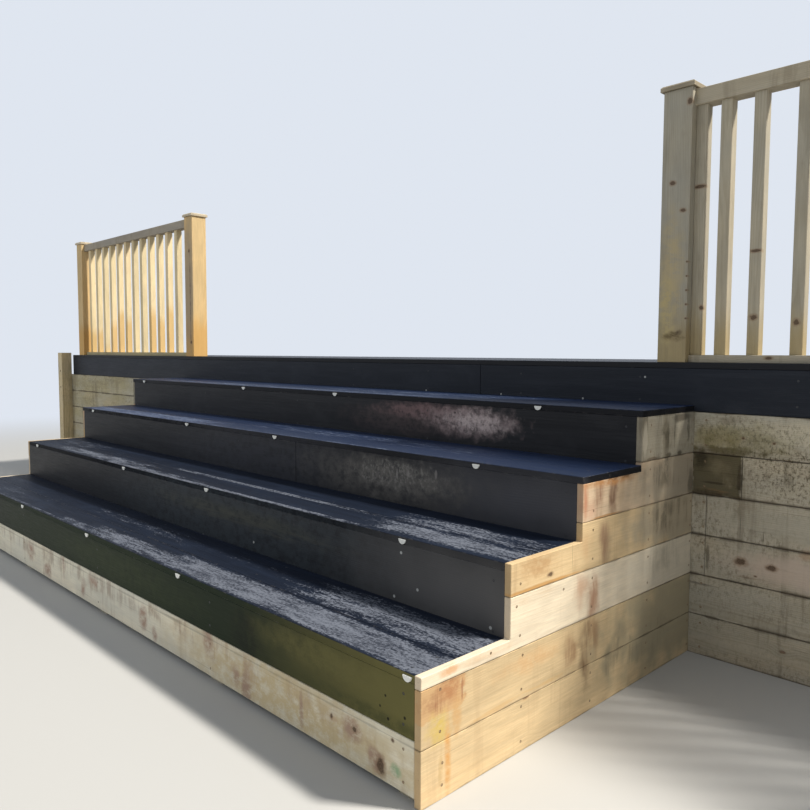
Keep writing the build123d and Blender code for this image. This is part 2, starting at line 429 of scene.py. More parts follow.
patch, given, result = start_group(
    "patch",
    {
        "Centre": (0, 0, 0),
        "Half Size": (1, 1, 1),
        "Softness": 0.6,
        "Raggedness": 0.5,
        "Tears": 14.0,
        "Squareness": 0.0,
    },
)
point = here(patch)
arm = arm_from(given, point)
sides = parts_of(patch, vector_calc("ABSOLUTE", arm))
square = calc("MAXIMUM", sides["X"], calc("MAXIMUM", sides["Y"], sides["Z"]))
around = vector_calc("LENGTH", arm)
reach = around + (square - around) * given["Squareness"]
reach = reach + sway(scaled_noise(point, given["Tears"], 4.0), given["Raggedness"] * 2.0)
fill_inputs(result, {"Mask": fade(reach, 1.0, 1.0 - given["Softness"])})

# %% Group: knot mark
knot_mark, given, result = start_group(
    "knot_mark",
    {"Centre": (0, 0, 0), "Half Size": (0.01, 0.01, 0.01)},
    {"Heart": "Float", "Rim": "Float"},
)
point = here(knot_mark)
away = vector_calc("LENGTH", arm_from(given, point)) + sway(noise(point, (55, 55, 70), 4.0, 0.65), 1.3)
rings = fade(calc("FRACT", away * 3.0), 0.2, 0.9, 0.75, 1.0)
fill_inputs(result, {"Heart": fade(away, 1.05, 0.7) * rings, "Rim": fade(away, 1.8, 0.9)})

# %% Group: run marks
run_marks, given, result = start_group("run_marks", {"Closeness": 38.0, "Threshold": 0.55})
point = here(run_marks)
waves = vector_of(given["Closeness"], given["Closeness"], 2.6)
streak = scaled_noise(vector_calc("MULTIPLY", point, waves), 1.0, 5.0, 0.75, 0.6)
streak = streak + sway(noise(point, (3.1, 3.1, 6.0), 3.0), 0.6)
streak = streak + sway(noise(point, (13, 13, 2.0), 2.0), 1.1)
fill_inputs(result, {"Mask": fade(streak, given["Threshold"], given["Threshold"] + 0.24)})

# %% Group: joint dirt
joint_dirt, given, result = start_group("joint_dirt", {"Edge Distance": 0.05, "Reach": 0.012})
uneven = fade(noise(here(joint_dirt), (11, 11, 11), 3.0), 0.3, 0.75, 0.15, 1.0)
fill_inputs(result, {"Mask": fade(given["Edge Distance"], given["Reach"] * uneven, 0.0)})

# %% Group: speckle
speckle, given, result = start_group(
    "speckle",
    {"Cover": 0.5, "Grit": 120.0, "Brush": (0.75, 1, 1)},
    {"Mask": "Float", "Shade": "Float"},
)
swept = vector_calc("MULTIPLY", here(speckle), given["Brush"])
grit = scaled_noise(swept, given["Grit"], 4.0, 0.7)
drift = noise(swept, (11, 44, 44), 6.0, 0.8)
cover = fade(given["Cover"] + sway(grit, 2.2) + sway(drift, 2.4), 0.38, 0.9)
some = fade(given["Cover"], 0.0, 0.25)
fill_inputs(result, {"Mask": cover * some, "Shade": fade(grit + drift, 0.85, 1.15)})

# %% Group: wet foot
wet_foot, given, result = start_group("wet_foot", {"Dry Height": 1.4, "Wet Height": 1.3})
point = here(wet_foot)
height = parts_of(wet_foot, point)["Z"] + sway(noise(point, (26, 26, 5), 3.0), 0.16)
fill_inputs(result, {"Mask": fade(height, given["Dry Height"], given["Wet Height"])})

# %% Group: rubbed edge
rubbed_edge, given, result = start_group("rubbed_edge", {"Radius": 0.004, "Amount": 0.5})
rounded = value_from("ShaderNodeBevel", "Normal", {"Radius": given["Radius"]}, samples=4)
surface = results(add_node(rubbed_edge, "ShaderNodeNewGeometry"))
corner = fade(vector_calc("DOT_PRODUCT", rounded, surface["True Normal"]), 0.985, 0.8)
chips = noise(here(rubbed_edge), (34, 34, 34), 4.0, 0.65)
start = 0.75 - given["Amount"] * 0.5
fill_inputs(result, {"Mask": corner * fade(chips, start, start + 0.08)})
print("groups:", [group.name for group in bpy.data.node_groups])

# %% [markdown]
# ## Marks at chosen places
#
# Each stain or knot that the real stairs have, and each patch of painted shade, is written down once,
# as a row of a table. The row gives its place along the face and up from the ground, and its half
# sizes, all in millimetres.
# For a mark it goes on with the tint in percent, how strong and how ragged the mark is, its kind,
# and how fine its torn edge is. The kind says how a mark breaks up: a soft smudge, runs of water,
# bands that follow the grain, grit, a mottled haze, an even wash, a smear, or a stained board.

# %% Kinds of marks
softness = {"board": 0.12, "haze": 0.8, "smear": 0.95, "wash": 1.0}
# What breaks a kind up: waves, detail and roughness of a noise, and its fade
breaks = {
    "runs": ((30, 30, 22), 5.0, 0.75, (0.35, 0.58, 0.25, 1.0)),
    "bands": ((6, 75, 75), 3.0, 0.6, (0.42, 0.6)),
    "grit": ((85, 85, 62), 6.0, 0.8, (0.47, 0.62)),
    "haze": ((26, 26, 36), 5.0, 0.75, (0.34, 0.58, 0.3, 1.0)),
    "smear": ((30, 30, 7), 3.0, 0.55, (0.3, 0.62, 0.25, 1.0)),
}


def mark(at, half, tint, strength=0.7, ragged=0.5, kind="soft", tears=14.0):
    where = {"Centre": at, "Half Size": half, "Raggedness": ragged, "Tears": tears}
    where["Softness"] = softness.get(kind, 0.6)
    where["Squareness"] = float(kind == "board")
    return {"where": where, "tint": tint, "strength": strength, "kind": kind}


def mark_mask(tree, spot, along_grain):
    mask = placed(tree, patch, spot["where"])["Mask"]
    kind = spot["kind"]
    if kind == "runs":
        mask = mask * placed(tree, run_marks, {"Closeness": 34.0, "Threshold": 0.42})["Mask"]
    if kind in breaks:
        waves, detail, roughness, change = breaks[kind]
        place = along_grain if kind == "bands" else here(tree)
        mask = mask * fade(noise(place, waves, detail, roughness), *change)
    return mask * spot["strength"]


def add_marks(tree, colour, marks, along_grain):
    for spot in marks:
        colour = blend(mark_mask(tree, spot, along_grain), colour, spot["tint"])
    return colour


def add_knot(tree, colour, at, half):
    """A knot on a board: a reddish rim that fades into the wood, and a dark ringed heart."""
    knot = placed(tree, knot_mark, {"Centre": at, "Half Size": half})
    colour = blend(knot["Rim"] * 0.55, colour, (0.25, 0.15, 0.085))
    return blend(knot["Heart"] * 0.9, colour, (0.07, 0.04, 0.022))


# %% Tables of marks and knots
mark_depth, knot_depth = 0.06, 0.02


def on_face(axis, face, depth, millimetres):
    """A place on a face that is square to x or y, and the half sizes of what lies there."""
    along, up, half_along, half_up = [value / 1000 for value in millimetres]
    if axis == "x":
        return (face, along, up), (depth, half_along, half_up)
    return (along, face, up), (half_along, depth, half_up)


def marks_on(axis, face, rows, usual=(0.7, 0.5, "soft", 14.0)):
    """A mark for each row. The usual values stand for what a row leaves out after its tint."""
    made = []
    for row in rows:
        at, half = on_face(axis, face, mark_depth, row[:4])
        tint = [channel / 100 for channel in row[4]]
        made.append(mark(at, half, tint, *row[5:], *usual[len(row) - 5:]))
    return made


def knots_on(axis, face, rows):
    return [on_face(axis, face, knot_depth, row) for row in rows]


# %% [markdown]
# ## Bare softwood
#
# The side boards, walls, rails and framing are all the same treated softwood at different ages.
# One function builds them: fresh boards are warm and clean, older ones grey, green and streaked.
# Each piece of the stairs gets its own material, with colours and marks as they are on it. The side
# boards and the left newel also get patches of painted shade.

# %% Function: a bare timber finish
ring_width, dirt_colour = 0.006, (0.06, 0.042, 0.025)


def bare_timber(name, look, boards, marks=(), knots=()):
    """Softwood with weather marks, and painted shade on some pieces. look and boards are values by name.
    """
    material, tree, shader = start_material(name)
    board = placed(tree, board_place, boards)
    wood = placed(tree, softwood, {
        "Place": board["Place"],
        "Board": board["Board"],
        "Sawn End": board["Sawn End"],
        "Ring Width": ring_width,
        "Ring Contrast": look["contrast"],
        "Knot Share": look["knots"],
        "Checks": look.get("checks", 0.3),
        "Early Wood": look["early"],
        "Late Wood": look["late"],
        "Heartwood": look["heart"],
        "Heart Amount": look.get("heart_amount", 0.35),
    })
    colour = wood["Color"]
    if "grey" in look:
        bleached = fade(noise(here(tree), (2.3, 2.3, 6.0), 4.0, 0.6), 0.35, 0.7)
        colour = blend(bleached * look["grey"], colour, look["grey_colour"])
    if "foot" in look:
        dry, wet, foot_colour = look["foot"]
        shift = sway(board["Board"], look.get("foot_shift", 0.0))
        foot = placed(tree, wet_foot, {"Dry Height": shift + dry, "Wet Height": shift + wet})
        colour = blend(foot["Mask"] * 0.6, colour, foot_colour)
    if "runs" in look:
        runs = placed(tree, run_marks, {"Closeness": look.get("run_closeness", 38.0)})
        colour = blend(runs["Mask"] * look["runs"], colour, look["run_colour"])
    if "mould" in look:
        damp = fade(noise(here(tree), (3.5, 3.5, 7.0), 4.0, 0.6), 0.38, 0.68, 0.2, 1.0)
        specks = fade(noise(here(tree), (75, 75, 48), 6.0, 0.8), 0.46, 0.64)
        colour = blend(damp * specks * look["mould"], colour, look["run_colour"])
    colour = add_marks(tree, colour, marks, board["Place"])
    for at, half in knots:
        colour = add_knot(tree, colour, at, half)
    edge = {"Edge Distance": board["Edge Distance"], "Reach": look.get("dirt_reach", 0.01)}
    dirt = placed(tree, joint_dirt, edge)["Mask"] * look["dirt"]
    fill_inputs(shader, {
        "Base Color": blend(dirt, colour, dirt_colour),
        "Roughness": fade(wood["Fibre"], 0.3, 0.7, 0.62, 0.82),
        "Specular IOR Level": 0.3,
        "Normal": bump(tree, wood["Relief"], look.get("relief", 0.0006)),
    })
    return material


def dress(node_name, look, boards, marks=(), knots=()):
    """Give one node of the stairs a bare timber finish of its own."""
    finish_node(node_name, bare_timber(f"{node_name}_timber", look, boards, marks, knots))


# %% Directions of the boards
along_x, along_y, along_z = (1, 0, 0), (0, 1, 0), (0, 0, 1)
course = 0.15


def layout(along, across, width, first_edge, seed):
    named = {"Along": along, "Across": across, "Board Width": width}
    return {**named, "First Edge": first_edge, "Seed": seed}


def courses(along, seed):
    return layout(along, along_z, course, 0.0, seed)


# %% [markdown]
# ## Side boards
#
# The boards at the side of the flight are new: cream and honey coloured, with orange heart streaks
# near the foot, brown sap marks, and grey drips towards the deck. Towards the deck the courses are
# also painted greyer and darker: painted shade of the balustrade. Each course is a node of its own
# and gets its own colours. The left side has the same boards, with other grain.

# %% Looks of the side boards
fresh = dict(
    early=(0.75, 0.57, 0.335), late=(0.62, 0.425, 0.22), heart=(0.7, 0.46, 0.24), contrast=0.16,
    heart_amount=0.45, runs=0.2, run_colour=(0.4, 0.27, 0.15), dirt=0.45, knots=0.07,
    relief=0.00025,
)
pale = dict(fresh, early=(0.88, 0.76, 0.58), late=(0.76, 0.6, 0.42), heart_amount=0.12, runs=0.12)
honey = dict(fresh, early=(0.76, 0.57, 0.33), late=(0.58, 0.39, 0.19), runs=0.35)
rosy = dict(fresh, early=(0.72, 0.55, 0.38), late=(0.53, 0.36, 0.23), runs=0.35)
# The top course is grey and mouldy, and its colours are also darker than the wood: painted shade, as the
# whole course lies in the balustrade's shade.
drab_and_shaded = dict(
    fresh, early=(0.4, 0.36, 0.28), late=(0.27, 0.23, 0.16), mould=0.6, runs=0.6,
    run_colour=(0.13, 0.11, 0.075), grey=0.5, grey_colour=(0.4, 0.38, 0.32),
)
side_looks = dict(lower_courses=fresh, course_3=pale, course_4=honey, course_5=rosy, course_6=drab_and_shaded)
face_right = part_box("side_right_course_3")[1].x
brown, olive_and_shade, soot = (30, 17, 8.5), (29, 26.5, 18.5), (6, 5, 3)

# %% Marks of the right side boards
right_rows = [
    (-1245, 262, 88, 48, (56, 33, 15), 0.65, 0.5, "board", 40),
    (-1210, 275, 75, 45, (42, 20, 9), 0.9, 0.6, "haze", 40),
    (-1285, 260, 50, 40, (42, 24, 12), 0.9, 0.5, "haze", 40),
    (-1220, 250, 80, 60, (27, 10, 5), 0.6, 0.5, "runs", 40),
    (-1168, 262, 6, 40, (33, 15, 7), 0.7, 0.4, "soft", 60),
    (-1255, 190, 55, 60, (60, 44, 10), 0.85, 0.5, "haze", 30),
    (-1190, 200, 25, 70, (58, 35, 15), 0.8, 0.5, "haze", 30),
    (-1221, 100, 17, 150, (62, 31, 9), 0.85, 0.35, "haze", 30),
    (-1245, 75, 12, 80, (50, 33, 14), 0.6, 0.5, "haze", 30),
    (-680, 225, 50, 100, brown, 0.95, 0.7, "smear", 18),
    (-600, 200, 45, 140, (22, 13, 6.5), 1.0, 0.7, "smear", 18),
    (-550, 240, 40, 100, brown, 0.85, 0.7, "smear", 18),
    (-860, 250, 200, 40, (60, 36, 17), 0.6, 0.6, "haze"),
    (-950, 160, 300, 12, (60, 38, 16), 0.5, 0.6, "bands"),
    # Painted shade: this broad grey mark darkens the back of the lowest courses, where the balustrade's
    # shade falls. Only part of it is real greying.
    (50, 180, 720, 250, olive_and_shade, 0.8, 0.4),
    (-300, 140, 300, 100, (20, 18, 12), 0.5, 0.6, "runs"),
    (-1211, 322, 50, 14, (66, 36, 18), 0.9, 0.6, "haze", 30),
    (-1100, 320, 200, 14, (70, 50, 32), 0.5, 0.6, "haze", 30),
    (-560, 360, 50, 130, (42, 25, 16), 1.0, 0.7, "smear", 18),
    (-630, 400, 60, 80, (55, 37, 25), 0.9, 0.7, "smear", 18),
    (-850, 430, 120, 20, (60, 43, 27), 0.35, 0.6, "bands"),
    # Painted shade over the back of course 3, partly real greying.
    (0, 380, 550, 140, (55, 51, 42), 0.6, 0.4),
    (-50, 400, 200, 80, (25, 23, 17), 0.4, 0.6, "runs"),
    (-850, 515, 130, 50, (50, 31, 15), 0.85, 0.6, "haze", 24),
    (-677, 520, 1.2, 70, soot, 0.55, 0.1),
    (-500, 525, 45, 130, (32, 20, 12), 1.0, 0.6, "smear"),
    (-600, 540, 50, 80, (56, 35, 18), 0.5, 0.6, "smear"),
    (-820, 456, 250, 7, (52, 26, 7), 0.75, 0.4),
    # Painted shade over the back of course 4, partly real greying.
    (0, 530, 500, 140, (33, 30, 23.5), 0.75, 0.4),
    (-60, 540, 200, 80, soot, 0.5, 0.6, "runs"),
    (-535, 680, 40, 110, (25, 14, 8.5), 1.0, 0.7, "smear", 20),
    (-455, 665, 45, 130, (20, 12, 7.5), 1.0, 0.7, "smear", 20),
    (-612, 660, 22, 100, (45, 20, 11), 0.9, 0.5, "smear"),
    (-580, 620, 50, 60, (60, 34, 23), 0.6, 0.6, "smear"),
    (-450, 715, 220, 28, (42, 20, 7), 1.0, 0.5, "haze"),
    (-400, 722, 160, 14, (9, 4.5, 2.2), 0.85, 0.6, "haze", 30),
    (-85, 660, 1.4, 100, soot, 0.7, 0.2),
    (-500, 604, 120, 6, (40, 20, 6), 0.7, 0.4),
    # Painted shade over the back of course 5, partly real greying.
    (0, 670, 450, 140, (30, 27, 21), 0.8, 0.4),
    (-50, 700, 220, 80, soot, 0.6, 0.6, "runs"),
    (90, 640, 30, 60, soot, 0.6, 0.6),
    (-30, 830, 160, 80, soot, 0.85, 0.6, "runs", 20),
    (60, 840, 14, 60, (5, 3.8, 2), 0.8, 0.7, "haze", 40),
    (-255, 820, 20, 80, (62, 56, 45), 0.6, 0.4),
    (10, 885, 90, 20, (5, 3.8, 2.5), 0.7, 0.7),
    (-90, 757, 30, 12, soot, 0.75, 0.6, "soft", 30),
    (-5, 757, 25, 12, soot, 0.8, 0.6, "soft", 30),
    (-200, 755, 60, 8, (10, 6, 3), 0.6, 0.6, "soft", 30),
]

# %% Finish the side boards
def at_step(rows, step):
    """The rows that lie on one node. The lowest node is two courses high, the others are one."""
    return [row for row in rows if max(row[1] // (course * 1000), 1) == step]


seed = 0.0
for side, rows, knot_rows in (("right", right_rows, [(-790, 478, 12, 6)]), ("left", [], [])):
    for step, (part, timber_look) in enumerate(side_looks.items(), start=1):
        seed += 1.0
        marks = marks_on("x", face_right, at_step(rows, step))
        knots = knots_on("x", face_right, at_step(knot_rows, step))
        dress(f"side_{side}_{part}", timber_look, courses(along_y, seed), marks, knots)
print("side boards finished:", int(seed))

# %% [markdown]
# ## Base board
#
# The bare board at the foot of the flight is pale and a little grey, with pinkish smudges that
# run down it, two brown knots near its right end and a green smear of wood preservative.

# %% Finish the base board
base_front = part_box("base_board")[0].y
smudges = [
    (-1750, 90, 90, 50), (-1450, 100, 30, 60), (-830, 113, 50, 50), (-600, 60, 50, 40),
    (-390, 113, 20, 60), (-160, 70, 30, 50), (-50, 126, 60, 30), (430, 100, 35, 60),
    (520, 55, 20, 40), (920, 130, 40, 50), (1090, 80, 30, 50), (1150, 60, 30, 60),
    (1440, 81, 10, 50), (1660, 110, 50, 35), (1760, 70, 40, 30),
]
spread, pink = 1.3, (40, 27, 20)
base_rows = [
    (1350, 90, 1000, 160, (56, 43, 22), 0.8, 0.3, "haze"),
    (-300, 130, 1600, 50, (30, 22, 16), 0.6, 0.5, "runs"),
    (1100, 120, 800, 60, (40, 27, 18), 0.4, 0.5, "runs"),
    *[(x, z, wide * spread, high * spread, pink, 0.95, 0.8, "haze") for x, z, wide, high in smudges],
    (1832, 68, 30, 22, (30, 42, 26), 0.95, 0.6, "haze", 30),
    (1590, 112, 30, 12, (50, 34, 22), 0.5, 0.6),
]
base_knots = [(1778, 56, 15, 22), (1675, 115, 9, 8), (1822, 142, 5, 5), (1578, 118, 5, 8)]
base_look = dict(
    pale, early=(0.84, 0.79, 0.64), late=(0.67, 0.6, 0.45), runs=0.35, run_colour=(0.4, 0.31, 0.22),
    run_closeness=22.0, grey=0.4, grey_colour=(0.6, 0.6, 0.54), dirt=0.3,
)
base_marks = marks_on("y", base_front, base_rows, (0.6, 0.6, "soft", 18.0))
dress("base_board", base_look, courses(along_x, 3.0), base_marks, knots_on("y", base_front, base_knots))

# %% [markdown]
# ## Retaining walls
#
# The wall boards have stood in the wet: grey and olive, with dark runs and green in the joints.
# The right wall has one board end that is nearly black, and a pinkish board with two knots.

# %% Marks of the right wall
wall_rows = [
    (2000, 810, 130, 50, (40, 33, 16), 0.55),
    (2400, 840, 500, 60, (62, 56, 42), 0.6),
    (2050, 765, 160, 20, (9, 7, 3), 0.8, 0.8),
    (2050, 875, 50, 18, (20, 17, 12), 0.5, 0.7),
    (2007, 675, 93, 81, (8.5, 7, 3.2), 0.9, 0.12, "board", 40),
    (2015, 700, 70, 45, (24, 20, 12), 0.6, 0.6, "haze"),
    (1950, 730, 50, 50, (3.5, 2.8, 1.5), 0.85, 0.7, "haze", 30),
    (2000, 610, 100, 16, (4.5, 3.2, 1.8), 0.8, 0.7, "haze", 30),
    (2010, 645, 70, 6, (3, 2.2, 1.2), 0.6, 0.5),
    (2000, 620, 80, 12, (20, 14, 7), 0.7, 0.4, "bands"),
    (2050, 655, 30, 30, (30, 25, 16), 0.6, 0.6, "runs"),
    (2090, 665, 12, 75, (3, 2.2, 1.2), 0.8, 0.5, "soft", 40),
    (2500, 660, 420, 80, (42, 37, 26), 0.35, 0.4),
    (2350, 685, 400, 120, (9, 7, 4), 0.9, 0.4, "grit"),
    (2250, 710, 300, 60, (8, 6.5, 3.5), 0.8, 0.5, "runs"),
    (2150, 760, 350, 30, (10, 8, 4.5), 0.95, 0.5, "grit"),
    (2080, 810, 250, 80, (17, 15, 5), 0.6, 0.5, "haze"),
    (2120, 830, 350, 80, (10, 8.5, 5), 0.65, 0.4, "grit"),
    (1978, 540, 1.5, 75, soot, 0.7, 0.2),
    (2030, 550, 100, 50, (16, 14, 8.5), 0.75, 0.5, "runs"),
    (2500, 525, 550, 80, (44, 42, 35), 0.6, 0.3),
    (2177, 477, 1.6, 24, soot, 0.85, 0.2),
    (2098, 500, 1.4, 55, (10, 8.5, 6), 0.7, 0.1),
    (2400, 370, 450, 80, (62, 51, 43), 0.75, 0.3),
    (1985, 375, 10, 70, soot, 0.6, 0.6, "soft", 40),
    (2150, 320, 100, 14, (20, 14, 9), 0.5, 0.7, "bands"),
    (2320, 440, 30, 30, (42, 27, 17), 0.5, 0.6),
]
wall_knots = [
    (2104, 377, 20, 13), (2208, 376, 16, 10), (2155, 336, 6, 3), (2097, 815, 6, 4),
    (2201, 806, 5, 4),
]

# %% Finish the walls
weathered = dict(
    early=(0.55, 0.495, 0.38), late=(0.36, 0.31, 0.22), heart=(0.42, 0.33, 0.22), contrast=0.4,
    mould=0.75, knots=0.14, checks=0.7, grey=0.6, grey_colour=(0.5, 0.485, 0.42), runs=0.4,
    run_colour=(0.13, 0.105, 0.065), dirt=0.75, dirt_reach=0.016,
)
yellower = dict(weathered, early=(0.5, 0.44, 0.27), late=(0.36, 0.29, 0.16))
wall_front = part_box("wall_right")[0].y
wall_marks = marks_on("y", wall_front, wall_rows, (0.7, 0.5, "soft", 20.0))
dress("wall_right", weathered, courses(along_x, 20.0), wall_marks, knots_on("y", wall_front, wall_knots))
dress("wall_left", yellower, courses(along_x, 21.0))
dress("wall_back", weathered, courses(along_x, 22.0))
dress("wall_right_end", weathered, courses(along_y, 23.0))
dress("wall_left_end", weathered, courses(along_y, 24.0))

# %% Finish the wall posts
def upright_boards(seed):
    """A post is one board: the cell that is counted is wider than any post."""
    return layout(along_z, along_x, 0.5, 0.0, seed)


post_look = dict(
    weathered, early=(0.74, 0.6, 0.36), late=(0.52, 0.4, 0.2), grey=0.2, runs=0.3, mould=0.3,
    dirt=0.0,
)
left_post_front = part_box("wall_post_left")[0]
split_at = (left_post_front.x + 0.012, left_post_front.y, 0.9)
split = mark(split_at, (0.004, 0.05, 0.24), (0.04, 0.03, 0.018), 0.9, 0.3)
knot_x = left_post_front.x + 0.05
post_knots = [((knot_x, left_post_front.y, z), (0.009, 0.02, 0.008)) for z in (0.78, 0.93)]
dress("wall_post_left", post_look, upright_boards(31.0), [split], post_knots)
dress("wall_post_right", post_look, upright_boards(32.0))

# %% [markdown]
# ## Balustrades
#
# Planed softwood. The left one is yellow and clean, and turns orange towards its feet, where it
# stays wet. The right one has gone greyer, with ringed knots. Spindles share a mesh, so the board
# pitch is set to theirs: each falls in a cell of its own and gets a grain and a shade of its own.

# %% Finish the newels and posts
planed = dict(
    early=(0.66, 0.49, 0.26), late=(0.53, 0.34, 0.14), heart=(0.6, 0.37, 0.14), contrast=0.35,
    heart_amount=0.3, knots=0.12, checks=0.2, dirt=0.0, relief=0.0003,
    foot=(1.4, 1.26, (0.58, 0.31, 0.07)),
)
silvered = dict(
    planed, early=(0.46, 0.415, 0.32), late=(0.32, 0.27, 0.19), heart=(0.38, 0.31, 0.2),
    foot=(1.3, 1.14, (0.4, 0.29, 0.11)), runs=0.3, run_colour=(0.17, 0.14, 0.09), grey=0.3,
    grey_colour=(0.36, 0.35, 0.31),
)
grey_newel = dict(silvered, early=(0.38, 0.355, 0.29), late=(0.27, 0.235, 0.17))
newel_rows = [
    (1815, 1400, 70, 320, (46, 37, 21), 0.8, 0.4, "haze"),
    (1800, 1250, 40, 200, (50, 40, 19), 0.8, 0.5, "haze"),
    (1830, 1175, 60, 22, (12, 8.5, 4), 0.95, 0.7, "haze", 30),
    (1850, 1190, 16, 16, (8, 5, 3), 0.9, 0.7, "haze", 40),
    (1840, 1700, 35, 300, (20, 18, 14), 0.6, 0.6, "runs"),
]
newel_knots = [
    (1810, 1737, 11, 8), (1854, 1634, 10, 7), (1868, 2020, 9, 12),
    *[(1874, 1446 - 51.5 * n, 3.5, 3.5) for n in range(5)],
]
post_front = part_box("newel_right")[0].y
right_newel_marks = marks_on("y", post_front, newel_rows, (0.6, 0.5, "soft", 20.0))
left_newel_marks = [
    # The first mark lays a grey brown over the front face of the left newel alone: painted shade on the
    # face turned from the lamp. The second is a real dark streak.
    mark((-1.823, post_front, 1.58), (0.09, 0.014, 0.6), (0.33, 0.26, 0.19), 0.7, 0.2),
    mark((-1.805, post_front, 1.45), (0.012, 0.014, 0.5), (0.14, 0.1, 0.07), 0.8, 0.5, "haze"),
]
left_newel_knots = knots_on("y", post_front, [(-1815, 1830, 10, 12), (-1800, 1180, 10, 12)])
dress("newel_left", planed, upright_boards(40.0), left_newel_marks, left_newel_knots)
right_newel_knots = knots_on("y", post_front, newel_knots)
dress("newel_right", grey_newel, upright_boards(41.0), right_newel_marks, right_newel_knots)
dress("rail_post_left", planed, upright_boards(42.0))
dress("rail_post_right", silvered, upright_boards(43.0))

# %% Finish the spindles
sunny = dict(
    planed, early=(0.8, 0.67, 0.42), late=(0.66, 0.49, 0.26), heart=(0.72, 0.52, 0.34),
    foot=(1.33, 1.2, (0.6, 0.36, 0.1)), foot_shift=0.5,
)
spindle_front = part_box("spindles_right")[0].y
spindle_half = (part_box("spindles_right")[1].y - spindle_front) / 2
spindle_knots = [
    (1898.5, 1717, 20, 7), (2103, 1467, 20, 6), (2103, 1238, 12, 9), (2244, 1217, 10, 10),
    (1915, 1279, 6, 8),
]
for side, pitch, look, rows, seed in (
    ("left", 0.14527, sunny, (), 49.0),
    ("right", 0.13018, silvered, spindle_knots, 51.0),
):
    low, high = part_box(f"spindles_{side}")
    last = low.x + spindle_half if side == "left" else high.x - spindle_half
    boards = layout(along_z, along_x, pitch, last - pitch / 2, seed)
    dress(f"spindles_{side}", look, boards, (), knots_on("y", spindle_front, rows))

# %% Finish the rails and caps
rail_look = dict(silvered, early=(0.5, 0.44, 0.33), late=(0.38, 0.31, 0.2))
del rail_look["foot"]
left_rail_look = dict(rail_look, early=(0.34, 0.3, 0.25), late=(0.25, 0.21, 0.16))
left_bottom_look = dict(rail_look, early=(0.5, 0.42, 0.23), late=(0.36, 0.29, 0.14))
rail_knot = knots_on("y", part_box("bottom_rail_right")[0].y, [(2164, 1096, 12, 6)])


def rail_boards(seed, width=0.5):
    return layout(along_x, along_z, width, 0.9, seed)


dress("top_rail_left", left_rail_look, rail_boards(60.0))
dress("bottom_rail_left", left_bottom_look, rail_boards(62.0))
dress("top_rail_right", rail_look, rail_boards(61.0))
dress("bottom_rail_right", rail_look, rail_boards(63.0), (), rail_knot)
cap_look = dict(
    rail_look, early=(0.7, 0.6, 0.44), late=(0.54, 0.43, 0.28), grey=0.2,
    grey_colour=(0.5, 0.48, 0.42),
)
cap_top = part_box("post_caps")[1].z
cap_reach, cap_shade = (0.15, 0.15, 0.1), (0.2, 0.17, 0.12)
darker = [mark((x, 0.16, cap_top), cap_reach, cap_shade, 0.75, 0.2) for x in (1.823, 3.823)]
finish_node("post_caps", bare_timber("cap_timber", cap_look, rail_boards(65.0, 0.7), darker))

# %% [markdown]
# ## Framing
#
# Posts, bearers, beams and joists are sawn, not planed, and hardly seen. They show through the gap
# under the base board and from below, so they get the same wood, rougher and darker.

# %% Finish the framing
sawn = dict(weathered, grey=0.2, runs=0.2, relief=0.001)
framing_timber = bare_timber("framing_timber", sawn, layout(along_y, along_x, 0.3, 0.0, 70.0))
framing_post_timber = bare_timber("framing_post_timber", sawn, upright_boards(71.0))
for node_name in ("flight_bearers", "deck_beams", "deck_joists"):
    finish_node(node_name, framing_timber)
for node_name in ("flight_posts", "deck_posts"):
    finish_node(node_name, framing_post_timber)

# %% [markdown]
# ## Black paint
#
# The treads, risers and edge boards are softwood under black outdoor paint. The grain still shows
# as relief, the film is half glossy, and dust and feet turn the walked stretches grey. On the tread
# tops the paint and dust are tinted bluer than on the fronts: a painted reflection of blue sky. The
# lowest riser is dark green and olive, partly weathered and partly painted green light reflected
# from the ground.

# %% Function: black paint
coal, thinner = (0.0075, 0.008, 0.0105), (0.033, 0.034, 0.038)
fleck_colour, rubbed_colour = (0.42, 0.43, 0.42), (0.17, 0.16, 0.15)
plain_dust = ((0.045, 0.051, 0.067), (0.115, 0.128, 0.158))


